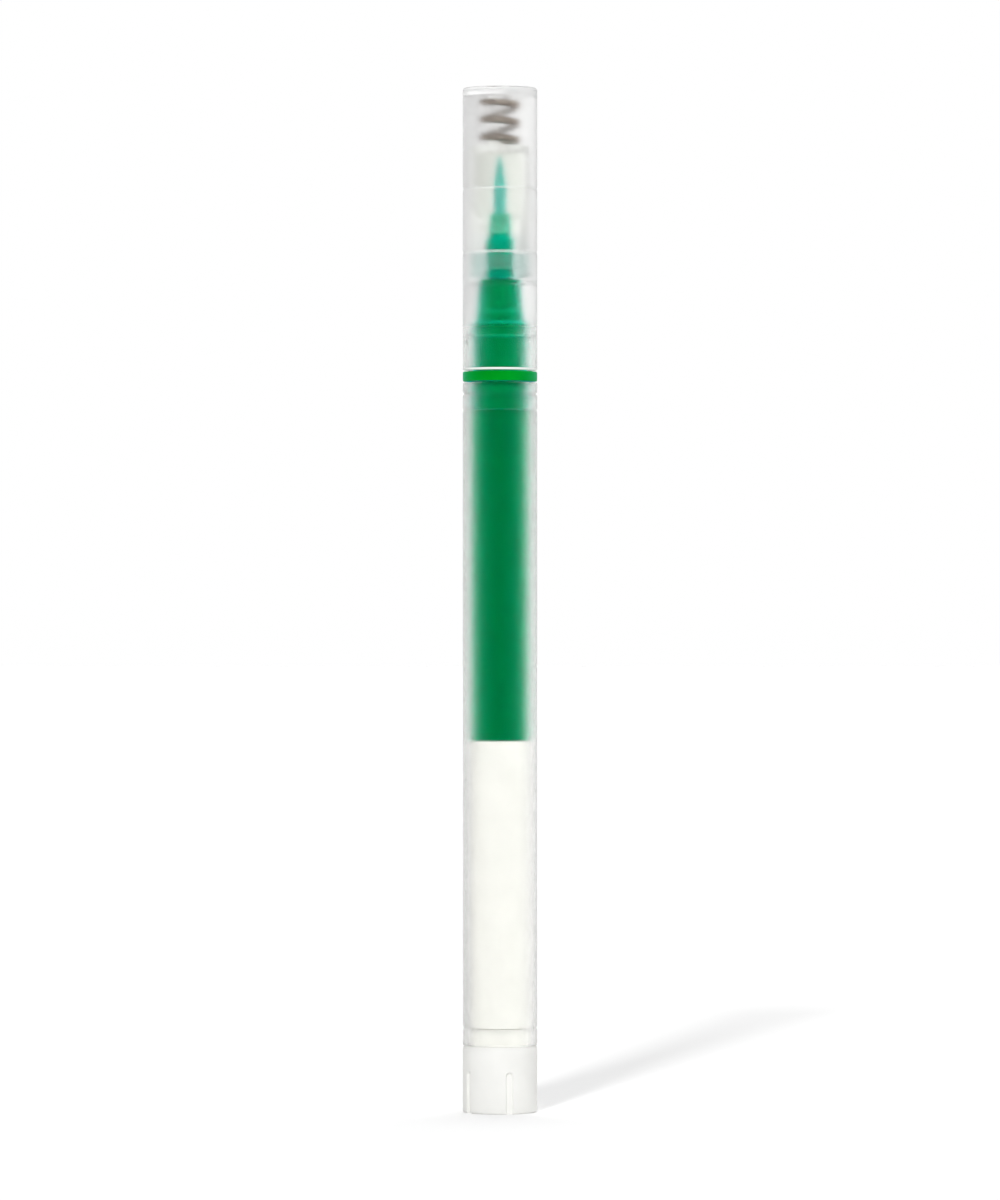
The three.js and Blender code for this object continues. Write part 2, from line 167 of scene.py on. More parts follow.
def rounded(corners, is_ring):
    """Outline points from corners given as (radius, height), (radius, height, fillet) or (radius,
    height, fillet before the corner, fillet after it)."""
    count = len(corners)
    points = [Vector(corner[:2]) for corner in corners]
    outline = []
    for i, corner in enumerate(corners):
        fillets = corner[2:]
        if not fillets or not (is_ring or 0 < i < count - 1):
            outline.append(points[i])
            continue
        before, after = points[i - 1] - points[i], points[(i + 1) % count] - points[i]
        start = points[i] + before.normalized() * min(fillets[0], before.length / 2)
        end = points[i] + after.normalized() * min(fillets[-1], after.length / 2)
        for step in range(ARC_STEPS + 1):
            t = step / ARC_STEPS
            outline.append((1 - t) ** 2 * start + 2 * t * (1 - t) * points[i] + t * t * end)
    return outline


def dip(radius, height, depth, width=GROOVE_WIDTH):
    """Corners of a smooth groove round a wall, listed upwards; a negative depth makes a bead."""
    corners = []
    for step in range(DIP_STEPS + 1):
        across = 2 * step / DIP_STEPS - 1
        drop = depth * (1 + math.cos(math.pi * across)) / 2
        corners.append((radius - drop, height + across * width / 2))
    return corners


def new_object(name, mesh, materials):
    """Links a mesh as a new object, with smooth faces and sharp edges at its corners."""
    for polygon in mesh.polygons:
        polygon.use_smooth = True
    mesh.set_sharp_from_angle(angle=SHARP_ANGLE)
    for material in materials:
        mesh.materials.append(material)
    piece = bpy.data.objects.new(name, mesh)
    bpy.context.scene.collection.objects.link(piece)
    return piece


def even_angles():
    return [2 * math.pi * i / SEGMENTS for i in range(SEGMENTS)]


def turned(name, corners, materials, is_ring=False, choose=None, inner=None, reshape=None,
           angles=None):
    """A piece turned about the pen's axis. choose(radius, height) gives the number of a face's
    material, inner(radius, height) says whether it is on a shell's inner side, reshape(radius,
    angle, height) can move a point in or out, and angles are given in radians round from the front
    towards +X."""
    outline = rounded(corners, is_ring)
    if is_ring:
        outline.append(outline[0])
    angles = angles or even_angles()
    work = bmesh.new()
    inner_side = work.faces.layers.float.new("inner_side")
    columns = []
    poles = {}
    for angle in angles:
        column = []
        for index, (radius, height) in enumerate(outline):
            if is_ring and index == len(outline) - 1:
                column.append(column[0])
                continue
            if radius < ON_AXIS:
                if index not in poles:
                    poles[index] = work.verts.new((0, 0, height * MM))
                column.append(poles[index])
                continue
            r = reshape(radius, angle, height) if reshape else radius
            x, y = r * math.sin(angle), -r * math.cos(angle)
            column.append(work.verts.new((x * MM, y * MM, height * MM)))
        columns.append(column)
    for i, column in enumerate(columns):
        other = columns[(i + 1) % len(columns)]
        for j in range(len(outline) - 1):
            corners_of_face = []
            for vert in (column[j], other[j], other[j + 1], column[j + 1]):
                if vert not in corners_of_face:
                    corners_of_face.append(vert)
            if len(corners_of_face) < 3:
                continue
            face = work.faces.new(corners_of_face)
            middle = (outline[j] + outline[j + 1]) / 2
            if choose:
                face.material_index = choose(middle.x, middle.y)
            if inner:
                face[inner_side] = float(inner(middle.x, middle.y))
    mesh = bpy.data.meshes.new(name)
    work.to_mesh(mesh)
    work.free()
    return new_object(name, mesh, materials)


def place(piece, body, node):
    """Puts a piece on its body in place of its solid."""
    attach(piece, body)
    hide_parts(node)
    return piece


# Materials

BLEND_ENDS = (0.3, 0.7)
CLOUD_SCALE = 250
MOULD_GRAIN = 4000
MOULD_DEPTH = 4e-6
MOULD_SWING = 0.08
SHEEN_ROUGHNESS = 0.6
FROST_SWING = (0.9, 1.1)
FIBRE_STRETCH = (1, 1, 0.03)
FIBRE_SWING = 0.1
WIRE_GRAIN = 6000
WIRE_DARK, WIRE_LIGHT = (0.24, 0.2, 0.17), (0.36, 0.31, 0.27)
WIRE_ROUGHNESS = (0.25, 0.45)


def new_material(name):
    material = bpy.data.materials.new(name)
    material.use_nodes = True
    return material, material.node_tree, material.node_tree.nodes["Principled BSDF"]


def noise(tree, scale, detail=3.0, stretch=(1, 1, 1)):
    """Noise in the object's own space, in features per metre, stretched along an axis."""
    coords = tree.nodes.new("ShaderNodeTexCoord")
    mapping = tree.nodes.new("ShaderNodeMapping")
    mapping.inputs["Scale"].default_value = stretch
    texture = tree.nodes.new("ShaderNodeTexNoise")
    texture.inputs["Scale"].default_value = scale
    texture.inputs["Detail"].default_value = detail
    tree.links.new(coords.outputs["Object"], mapping.inputs["Vector"])
    tree.links.new(mapping.outputs["Vector"], texture.inputs["Vector"])
    return texture.outputs["Fac"]


def ramp(tree, source, low, high):
    """Maps a 0 to 1 value to a blend between two colours."""
    node = tree.nodes.new("ShaderNodeValToRGB")
    for element, position, colour in zip(node.color_ramp.elements, BLEND_ENDS, (low, high)):
        element.position = position
        element.color = (*colour, 1)
    tree.links.new(source, node.inputs["Fac"])
    return node.outputs["Color"]


def spread(tree, source, low, high, start=0.0, end=1.0):
    """Maps a value from start to end to the range from low to high."""
    node = tree.nodes.new("ShaderNodeMapRange")
    node.inputs["From Min"].default_value = start
    node.inputs["From Max"].default_value = end
    node.inputs["To Min"].default_value = low
    node.inputs["To Max"].default_value = high
    tree.links.new(source, node.inputs["Value"])
    return node.outputs["Result"]


def feed(tree, socket, value):
    """Sets a socket to a number or links it to another socket."""
    if isinstance(value, (int, float)):
        socket.default_value = value
    else:
        tree.links.new(value, socket)


def math_node(tree, operation, *values):
    """A Math node of values that are each a socket or a number."""
    node = tree.nodes.new("ShaderNodeMath")
    node.operation = operation
    for socket, value in zip(node.inputs, values):
        feed(tree, socket, value)
    return node.outputs["Value"]


def bump(tree, shader, source, depth):
    node = tree.nodes.new("ShaderNodeBump")
    node.inputs["Strength"].default_value = 1.0
    node.inputs["Distance"].default_value = depth
    tree.links.new(source, node.inputs["Height"])
    tree.links.new(node.outputs["Normal"], shader.inputs["Normal"])


def add_sheen(shader, colour, weight):
    shader.inputs["Sheen Weight"].default_value = weight
    shader.inputs["Sheen Roughness"].default_value = SHEEN_ROUGHNESS
    shader.inputs["Sheen Tint"].default_value = (*colour, 1)


def plastic(name, low, high, roughness, specular, edge=None):
    """Moulded plastic: a faint cloud in its colour, and a fine texture from the mould. Tinted
    plastic that light gets into takes a paler edge, given as a colour and a strength."""
    material, tree, shader = new_material(name)
    shader.inputs["Specular IOR Level"].default_value = specular
    if edge:
        add_sheen(shader, *edge)
        shader.inputs["Specular Tint"].default_value = shader.inputs["Sheen Tint"].default_value
    tree.links.new(ramp(tree, noise(tree, CLOUD_SCALE), low, high), shader.inputs["Base Color"])
    fine = noise(tree, MOULD_GRAIN, detail=4)
    uneven = spread(tree, fine, roughness - MOULD_SWING, roughness + MOULD_SWING)
    tree.links.new(uneven, shader.inputs["Roughness"])
    bump(tree, shader, fine, MOULD_DEPTH)
    return material


def frosted(name, colour, outside, inside, index, clear=1.0, grain=5000, depth=3e-6, edge=None):
    """Translucent plastic whose fine surface texture scatters what is seen through it, with a
    roughness for its outside and one for its inner side. A stained film takes a tinted edge."""
    material, tree, shader = new_material(name)
    shader.inputs["Base Color"].default_value = (*colour, 1)
    shader.inputs["Transmission Weight"].default_value = clear
    shader.inputs["IOR"].default_value = index
    shader.inputs["Specular Tint"].default_value = (0, 0, 0, 1)
    fine = noise(tree, grain, detail=4)
    side = tree.nodes.new("ShaderNodeAttribute")
    side.attribute_name = "inner_side"
    base = spread(tree, side.outputs["Fac"], outside, inside)
    uneven = math_node(tree, "MULTIPLY", base, spread(tree, fine, *FROST_SWING))
    tree.links.new(uneven, shader.inputs["Roughness"])
    bump(tree, shader, fine, depth)
    if edge:
        add_sheen(shader, *edge)
    return material


def fibre(name, low, high, roughness, scale, depth, edge):
    """Fibres that run along the pen, as streaks in colour and height, with a paler fuzz."""
    material, tree, shader = new_material(name)
    shader.inputs["Specular IOR Level"].default_value = 0.0
    add_sheen(shader, *edge)
    streaks = noise(tree, scale, detail=5, stretch=FIBRE_STRETCH)
    tree.links.new(ramp(tree, streaks, low, high), shader.inputs["Base Color"])
    uneven = spread(tree, streaks, roughness - FIBRE_SWING, roughness + FIBRE_SWING)
    tree.links.new(uneven, shader.inputs["Roughness"])
    bump(tree, shader, streaks, depth)
    return material


def drawn_wire(name):
    material, tree, shader = new_material(name)
    shader.inputs["Metallic"].default_value = 1.0
    fine = noise(tree, WIRE_GRAIN)
    tree.links.new(ramp(tree, fine, WIRE_DARK, WIRE_LIGHT), shader.inputs["Base Color"])
    tree.links.new(spread(tree, fine, *WIRE_ROUGHNESS), shader.inputs["Roughness"])
    return material


PALE_EDGE = (0.0, 1.0, 0.95)
STAIN_EDGE = (0.0, 1.0, 0.6)
SHELL_INDEX = 1.45
CUP_INDEX = 1.15
FILM_INDEX = 1.02
SHELL_GRAIN = 15000
# Painted shade: a teal-grey tint for the outside of the cup's flange and lip, darker than its bore
CUP_SHADE_TEAL = (0.6, 0.74, 0.71)
FROST = frosted("frosted_shell", (1, 1, 0.985), outside=0.25, inside=0.25, index=SHELL_INDEX,
                grain=SHELL_GRAIN, depth=2.2e-5)
CAP_FROST = frosted("frosted_cap", (1, 1, 0.995), outside=0.3, inside=0.25, index=SHELL_INDEX,
                    grain=SHELL_GRAIN, depth=1.4e-5)
# Painted highlight: a milkier, less clear band in the middle of each of the cap's rings, in place of
# the light the ring catches
CAP_RING_HIGHLIGHT = frosted("frosted_cap_painted_ring_highlight", (0.97, 0.98, 0.97), outside=0.3, inside=0.3,
                   index=SHELL_INDEX, clear=0.6)
CUP_UPPER = frosted("natural_cup_plastic", (0.97, 0.98, 0.95), outside=0.2, inside=0.2,
                    index=CUP_INDEX, clear=0.94)
CUP_SEAL = frosted("natural_cup_plastic_seal", (0.87, 0.9, 0.88), outside=0.1, inside=0.1,
                   index=CUP_INDEX)
CUP_FLANGE_SHADE = frosted("cup_flange_painted_shade", CUP_SHADE_TEAL, outside=0.2, inside=0.2,
                     index=CUP_INDEX, clear=0.87)
CUP_LIP_SHADE = frosted("cup_lip_painted_shade", CUP_SHADE_TEAL, outside=0.15, inside=0.15, index=CUP_INDEX)
FILM = frosted("stained_film", (1, 1, 1), outside=0.05, inside=0.05, index=FILM_INDEX,
               edge=(STAIN_EDGE, 0.6))
# Painted highlight: an opaque white band on the cap's rim, in place of the light its edge catches
RIM_HIGHLIGHT = plastic("painted_rim_highlight", (0.9, 0.92, 0.9), (0.95, 0.96, 0.94), roughness=0.4, specular=0.3)
GREEN = plastic("green_plastic", (0.0, 0.27, 0.0), (0.0, 0.33, 0.006), roughness=0.4,
                specular=0.05, edge=(PALE_EDGE, 0.25))
# Painted shade: a darker copy of the green plastic for the section's faces seen through the cap and
# barrel
GREEN_SHADED = plastic("green_plastic_painted_shade", (0.0, 0.15, 0.006), (0.0, 0.18, 0.014), roughness=0.3,
                     specular=0.05, edge=(PALE_EDGE, 1.0))
# Painted highlight: a lighter green for bands at the section's steps and snap bead, where their edges
# would catch the light
GREEN_HIGHLIGHT = plastic("green_plastic_painted_highlight", (0.0, 0.21, 0.045), (0.0, 0.25, 0.06), roughness=0.3,
                     specular=0.05, edge=(PALE_EDGE, 1.0))
GREEN_NOSE = plastic("green_plastic_nose", (0.0, 0.37, 0.19), (0.0, 0.42, 0.23), roughness=0.4,
                     specular=0.0, edge=(PALE_EDGE, 1.0))
WHITE = plastic("white_plastic", (0.9, 0.9, 0.87), (0.94, 0.94, 0.91), roughness=0.45, specular=0.3)
# Painted shade: darker copies of the white plastic for what sits inside the frosted barrel, where the
# shells gather more light
WHITE_SPACER_SHADED = plastic("white_plastic_spacer_painted_shade", (0.85, 0.85, 0.82), (0.89, 0.89, 0.86),
                       roughness=0.5, specular=0.3)
WHITE_SHADED = plastic("white_plastic_painted_shade", (0.82, 0.82, 0.79), (0.86, 0.86, 0.83),
                      roughness=0.5, specular=0.3)
INK_FIBRE = fibre("inked_fibre", (0.0, 0.1, 0.0), (0.0, 0.14, 0.004), roughness=0.7, scale=9000,
                  depth=2e-5, edge=(STAIN_EDGE, 1.0))
NIB_FIBRE = fibre("nib_fibre", (0.0, 0.4, 0.32), (0.02, 0.5, 0.42), roughness=0.6, scale=12000,
                  depth=1.5e-5, edge=(PALE_EDGE, 1.0))
STEEL = drawn_wire("spring_steel")


# Pieces

SLOT_COUNT = 5
SLOT_HALF_WIDTH = 0.45
SLOT_DEPTH = 0.35
SLOT_TOP = 5.5
SLOT_FIRST = math.radians(15)
SLOT_EDGE = 0.16
SLOT_RINGS = 40
SLOT_RINGS_ABOVE = 0.4
SLOT_EDGE_STEPS = 4
SLOT_FLOOR_STEPS = 2
LAND_STEPS = 18
FOOT_FILLET = 0.7
FOOT_INSET = 0.3
SEAM_GAP = 0.04
SEAM_TAPER = 0.6
SEAM_INSET = 0.14
SMOOTH_SHOULDER = 0.5
SPIGOT_WALL = 1.1
TAIL_FLOOR = 2.2


def slot_depth(angle, height):
    """How far the tail's wall is sunk at a point, in millimetres."""
    pitch = 2 * math.pi / SLOT_COUNT
    from_slot = (angle - SLOT_FIRST + pitch / 2) % pitch - pitch / 2
    above = max(0.0, height - (SLOT_TOP - SLOT_HALF_WIDTH))
    inside = SLOT_HALF_WIDTH - math.hypot(from_slot * PEN_RADIUS, above)
    return SLOT_DEPTH * smooth_step(inside, -SLOT_EDGE / 2, SLOT_EDGE / 2)


def tail_angles():
    """Angles round the tail, closer together across each slot's edges."""
    pitch = 2 * math.pi / SLOT_COUNT
    edge = SLOT_EDGE / PEN_RADIUS / SLOT_EDGE_STEPS
    half = SLOT_HALF_WIDTH / PEN_RADIUS
    edge_steps = range(-SLOT_EDGE_STEPS, SLOT_EDGE_STEPS + 1)
    floor_steps = range(-SLOT_FLOOR_STEPS, SLOT_FLOOR_STEPS + 1)
    offsets = [side * (half + edge * step) for side in (-1, 1) for step in edge_steps]
    offsets += [half / 2 * step / SLOT_FLOOR_STEPS for step in floor_steps]
    offsets += [half * 2 + (pitch - half * 4) * step / LAND_STEPS for step in range(LAND_STEPS + 1)]
    starts = [SLOT_FIRST + pitch * i for i in range(SLOT_COUNT)]
    angles = [(start + offset) % (2 * math.pi) for start in starts for offset in offsets]
    return sorted({round(angle, ANGLE_DIGITS) for angle in angles})


def tail_plug():
    spigot = SPACER_BORE - FIT_GAP
    bore = spigot - SPIGOT_WALL
    shoulder = BARREL_BOTTOM - SEAM_GAP
    seat = SPACER_BOTTOM - SEAT_GAP
    rise = SLOT_TOP + SLOT_RINGS_ABOVE - FOOT_FILLET
    wall = [(PEN_RADIUS, FOOT_FILLET + rise * step / SLOT_RINGS) for step in range(1, SLOT_RINGS + 1)]
    corners = [
        (0, TAIL_BOTTOM), (PEN_RADIUS, TAIL_BOTTOM, FOOT_INSET, FOOT_FILLET), *wall,
        (PEN_RADIUS, BARREL_BOTTOM - SEAM_TAPER, SOFT_EDGE),
        (PEN_RADIUS - SEAM_INSET, shoulder, TIGHT_EDGE), (PLUG_RADIUS, shoulder),
        (PLUG_RADIUS, seat, FINE_EDGE), (spigot, seat), (spigot, TAIL_SPIGOT_TOP, SOFT_EDGE),
        (bore, TAIL_SPIGOT_TOP, FINE_EDGE), (bore, TAIL_FLOOR, ROUND_EDGE), (0, TAIL_FLOOR),
    ]

    def sunk(radius, angle, height):
        if height > TAIL_HEIGHT - SMOOTH_SHOULDER or radius < PEN_RADIUS - SLOT_DEPTH:
            return radius
        return min(radius, PEN_RADIUS - slot_depth(angle, height))

    # The tail's part inside the barrel takes the darker white copy, painted shade
    def in_barrel(radius, height):
        return int(height > BARREL_BOTTOM)

    piece = turned("tail_plug_moulding", corners, [WHITE, WHITE_SHADED], choose=in_barrel,
                   reshape=sunk, angles=tail_angles())
    return place(piece, "pen_body", "tail_plug")


OUTSIDE_FROM = PEN_RADIUS - 0.4
END_SKIN = 0.1


def is_inside(radius, height):
    """Whether a face of the barrel or the cap is on its inner side."""
    return radius < OUTSIDE_FROM and height < CAP_TOP - END_SKIN


def barrel():
    grooves = [point for height, depth in zip(BARREL_GROOVES, BARREL_GROOVE_DEPTHS)
               for point in dip(PEN_RADIUS, height, depth)]
    corners = [
        (BARREL_BORE, BARREL_BOTTOM, FINE_EDGE), (PEN_RADIUS, BARREL_BOTTOM, FINE_EDGE), *grooves,
        (PEN_RADIUS, BARREL_TOP, SOFT_EDGE), (BARREL_BORE, BARREL_TOP, FINE_EDGE),
    ]
    piece = turned("barrel_tube", corners, [FROST], True, inner=is_inside)
    return place(piece, "pen_body", "barrel")


def spacer_tube():
    corners = [
        (SPACER_BORE, SPACER_BOTTOM, FINE_EDGE), (SLEEVE_RADIUS, SPACER_BOTTOM, LIGHT_EDGE),
        (SLEEVE_RADIUS, SPACER_TOP, LIGHT_EDGE), (SPACER_BORE, SPACER_TOP, FINE_EDGE),
    ]
    # The spacer takes a darker white copy, painted shade
    piece = turned("white_spacer_tube", corners, [WHITE_SPACER_SHADED], True)
    return place(piece, "pen_body", "spacer_tube")


def reservoir_core():
    hole_bottom = NIB_END - SEAT_GAP
    corners = [
        (0, CORE_BOTTOM), (CORE_RADIUS, CORE_BOTTOM, LIGHT_EDGE), (CORE_RADIUS, CORE_TOP, LIGHT_EDGE),
        (NIB_BORE, CORE_TOP, FINE_EDGE), (NIB_BORE, hole_bottom), (0, hole_bottom),
    ]
    piece = turned("ink_reservoir_bundle", corners, [INK_FIBRE])
    return place(piece, "pen_body", "reservoir_core")


def reservoir_sleeve():
    bore = SLEEVE_RADIUS - FILM_WALL
    corners = [
        (bore, CORE_BOTTOM), (SLEEVE_RADIUS, CORE_BOTTOM), (SLEEVE_RADIUS, CORE_TOP), (bore, CORE_TOP),
    ]
    piece = turned("reservoir_film_wrap", corners, [FILM], True)
    return place(piece, "pen_body", "reservoir_sleeve")


SECTION_STEP = 0.3
# Half the height of each painted highlight band on the section
SECTION_HIGHLIGHT_HALF = 0.2


def front_section():
    shank_bore, tip = 1.6, 2.8
    plug_bore, plug_ceiling = SECTION_RADIUS - SECTION_WALL, SECTION_BOTTOM + 7.2
    lower_step, upper_step = COLLAR_TOP + 6.35, COLLAR_TOP + 7.9
    lower_top, upper_top = lower_step + SECTION_STEP, upper_step + SECTION_STEP
    middle_bottom, middle_top, taper = SECTION_RADIUS - 0.4, SECTION_RADIUS - 0.5, SECTION_RADIUS - 0.6
    collar_from = PEN_RADIUS - 0.5
    rings = (SNAP_HEIGHT, lower_step + SECTION_STEP / 2, upper_step + SECTION_STEP / 2)
    snap_bead = dip(SECTION_RADIUS, SNAP_HEIGHT, -SNAP_DEPTH, SNAP_WIDTH)
    corners = [
        (plug_bore, SECTION_BOTTOM), (PLUG_RADIUS, SECTION_BOTTOM, SOFT_EDGE),
        (PLUG_RADIUS, COLLAR_BOTTOM, FINE_EDGE), (PEN_RADIUS, COLLAR_BOTTOM, COLLAR_EDGE),
        (PEN_RADIUS, COLLAR_TOP, COLLAR_EDGE), (SECTION_RADIUS, COLLAR_TOP, FINE_EDGE), *snap_bead,
        (SECTION_RADIUS, lower_step, FINE_EDGE), (middle_bottom, lower_top, FINE_EDGE),
        (middle_top, upper_step, FINE_EDGE), (taper, upper_top, FINE_EDGE),
        (tip, SECTION_TOP, SOFT_EDGE), (shank_bore, SECTION_TOP), (shank_bore, plug_ceiling),
        (plug_bore, plug_ceiling),
    ]

    def zone(radius, height):
        # Bands at the snap bead and the steps take the lighter green, a painted highlight
        if any(abs(height - ring) < SECTION_HIGHLIGHT_HALF for ring in rings):
            return 2
        # The exposed collar takes the green plastic, and faces inside the shells take its darker copy,
        # painted shade
        return int(radius < collar_from)

    piece = turned("green_front_section", corners, [GREEN, GREEN_SHADED, GREEN_HIGHLIGHT], True, choose=zone)
    return place(piece, "pen_body", "front_section")


def nib_holder():
    shank, neck, bead, nose, tip = 1.55, 1.75, 1.9, 1.5, 1.35
    neck_bottom, neck_top = HOLDER_SEAT + 0.9, HOLDER_SEAT + 3.75
    bead_bottom, bead_top = HOLDER_SEAT + 3.9, HOLDER_SEAT + 5.35
    nose_bottom = HOLDER_SEAT + 5.5
    corners = [
        (NIB_BORE, HOLDER_BOTTOM), (shank, HOLDER_BOTTOM, FINE_EDGE), (shank, HOLDER_SEAT),
        (FLANGE_RADIUS, HOLDER_SEAT, TIGHT_EDGE), (neck, neck_bottom, ROUND_EDGE),
        (neck, neck_top, FINE_EDGE), (bead, bead_bottom, SOFT_EDGE), (bead, bead_top, SOFT_EDGE),
        (nose, nose_bottom, FINE_EDGE), (tip, HOLDER_TOP, SOFT_EDGE),
        (NIB_BORE, HOLDER_TOP, TIGHT_EDGE),
    ]
    piece = turned("green_nib_holder", corners, [GREEN_NOSE], True)
    return place(piece, "pen_body", "nib_holder")


NIB_TAPER_LENGTH = 4.4
NIB_POINT_RADIUS = 0.16
NIB_TAPER_STEPS = 40
NIB_TAPER_POWER = 1.35
NIB_FLUTES = 22
NIB_CROSS_FLUTES = 29
NIB_CROSS_SHARE = 0.6
NIB_FLUTE_DEPTH = 0.025
NIB_SEED = 7


def fibre_nib():
    """The nib's taper, with fine ridges where its bonded fibres run together towards the point."""
    taper_bottom = NIB_POINT - NIB_TAPER_LENGTH
    taper_top = NIB_POINT - NIB_POINT_RADIUS
    corners = [(0, NIB_END), (NIB_RADIUS, NIB_END, FINE_EDGE)]
    for step in range(NIB_TAPER_STEPS + 1):
        along = step / NIB_TAPER_STEPS
        radius = NIB_POINT_RADIUS + (NIB_RADIUS - NIB_POINT_RADIUS) * (1 - along ** NIB_TAPER_POWER)
        corners.append((radius, taper_bottom + (taper_top - taper_bottom) * along))
    for step in range(1, ARC_STEPS):
        turn = math.pi / 2 * step / ARC_STEPS
        height = taper_top + NIB_POINT_RADIUS * math.sin(turn)
        corners.append((NIB_POINT_RADIUS * math.cos(turn), height))
    corners.append((0, NIB_POINT))
    draw = random.Random(NIB_SEED)
    phase, cross_phase = [draw.uniform(0, 2 * math.pi) for _ in range(2)]
    peak = 1 + NIB_CROSS_SHARE

    def ridged(radius, angle, height):
        if height < HOLDER_TOP:
            return radius
        wave = math.sin(NIB_FLUTES * angle + phase)
        wave += NIB_CROSS_SHARE * math.sin(NIB_CROSS_FLUTES * angle + cross_phase)
        return radius - NIB_FLUTE_DEPTH * radius / NIB_RADIUS * (peak + wave) / (2 * peak)

    piece = turned("fibre_nib_point", corners, [NIB_FIBRE], reshape=ridged)
    return place(piece, "pen_body", "fibre_nib")


GATE_ANGLES = [math.radians(-60), math.radians(120)]
GATE_HEIGHT = CAP_RIM + 3.8
GATE_RADIUS = 0.45
GATE_DEPTH = 0.2
GATE_EDGE = 0.14
GATE_STEPS = 12
# Heights of the painted highlight bands on the cap's rim and rings
RIM_HIGHLIGHT_BAND = 0.3
RING_HIGHLIGHT_BANDS = [0.45, 0.2]
CUP_BEAD_DEPTH = 0.12
CUP_BEAD_WIDTH = 0.8


def gate_depth(angle, height):
    """How far the cap's wall is sunk at a feed mark, in millimetres."""
    deepest = 0.0
    for centre in GATE_ANGLES:
        across = ((angle - centre + math.pi) % (2 * math.pi) - math.pi) * PEN_RADIUS
        inside = GATE_RADIUS - math.hypot(across, height - GATE_HEIGHT)
        deepest = max(deepest, GATE_DEPTH * smooth_step(inside, -GATE_EDGE / 2, GATE_EDGE / 2))
    return deepest


def gate_offsets():
    """Steps across a feed mark, in millimetres, from one side of it to the other."""
    reach = GATE_RADIUS + GATE_EDGE
    return [reach * step / GATE_STEPS for step in range(-GATE_STEPS, GATE_STEPS + 1)]


def cap_angles():
    """Even angles round the cap, with close ones across each feed mark in place of the nearest."""
    near = math.cos((GATE_RADIUS + GATE_EDGE) / PEN_RADIUS + math.pi / SEGMENTS)
    angles = [angle for angle in even_angles()
              if all(math.cos(angle - mark) < near for mark in GATE_ANGLES)]
    angles += [(mark + offset / PEN_RADIUS) % (2 * math.pi)
               for mark in GATE_ANGLES for offset in gate_offsets()]
    return sorted(angles)


def cap_zone(radius, height):
    """1 on the cap's rim, where an opaque white band is a painted highlight, 2 in the middle of its
    rings, where a milkier band is a painted highlight, 3 on its thick mouth, which is frosted as the
    barrel is, and 0 elsewhere."""
    on_outside = radius > OUTSIDE_FROM
    if on_outside and height < CAP_RIM + RIM_HIGHLIGHT_BAND:
        return 1
    if height < MOUTH_TOP:
        return 3
    if not on_outside:
        return 0
    bands = zip(CAP_GROOVES, RING_HIGHLIGHT_BANDS)
    return 2 * any(abs(height - ring) < band / 2 for ring, band in bands)


def cap_shell():
    bead_height = CUP_BOTTOM - SEAT_GAP - 0.4
    boss_bottom = SPRING_TOP - 0.7
    taper_bottom, taper_top = MOUTH_TOP - 0.4, MOUTH_TOP + 1.0
    wall_from = PEN_RADIUS - 0.01
    grooves = [point for height in CAP_GROOVES for point in dip(PEN_RADIUS, height, CAP_GROOVE_DEPTH)]
    marks = [(PEN_RADIUS, GATE_HEIGHT + offset) for offset in gate_offsets()]
    cup_bead = dip(CAP_BORE, bead_height, CUP_BEAD_DEPTH, CUP_BEAD_WIDTH)
    snap_groove = dip(MOUTH_BORE, SNAP_HEIGHT, -SNAP_DEPTH, SNAP_WIDTH)
    corners = [
        (0, boss_bottom), (SPRING_BOSS, boss_bottom, SOFT_EDGE), (SPRING_BOSS, CAP_CEILING, FINE_EDGE),
        (CAP_BORE, CAP_CEILING, ROUND_EDGE), *reversed(cup_bead), (CAP_BORE, taper_top, MOUTH_EDGE),
        (MOUTH_BORE, taper_bottom, MOUTH_EDGE), *reversed(snap_groove),
        (MOUTH_BORE, CAP_RIM, SOFT_EDGE), (PEN_RADIUS, CAP_RIM, SOFT_EDGE),
        (PEN_RADIUS, CAP_RIM + RIM_HIGHLIGHT_BAND), *marks, (PEN_RADIUS, MOUTH_TOP), *grooves,
        (PEN_RADIUS, CAP_TOP, CAP_END_EDGE), (0, CAP_TOP),
    ]

    def marked(radius, angle, height):
        return radius - gate_depth(angle, height) if radius > wall_from else radius

    piece = turned("cap_outer_shell", corners, [CAP_FROST, RIM_HIGHLIGHT, CAP_RING_HIGHLIGHT, FROST], choose=cap_zone,
                   inner=is_inside, reshape=marked, angles=cap_angles())
    return place(piece, "cap", "cap_shell")


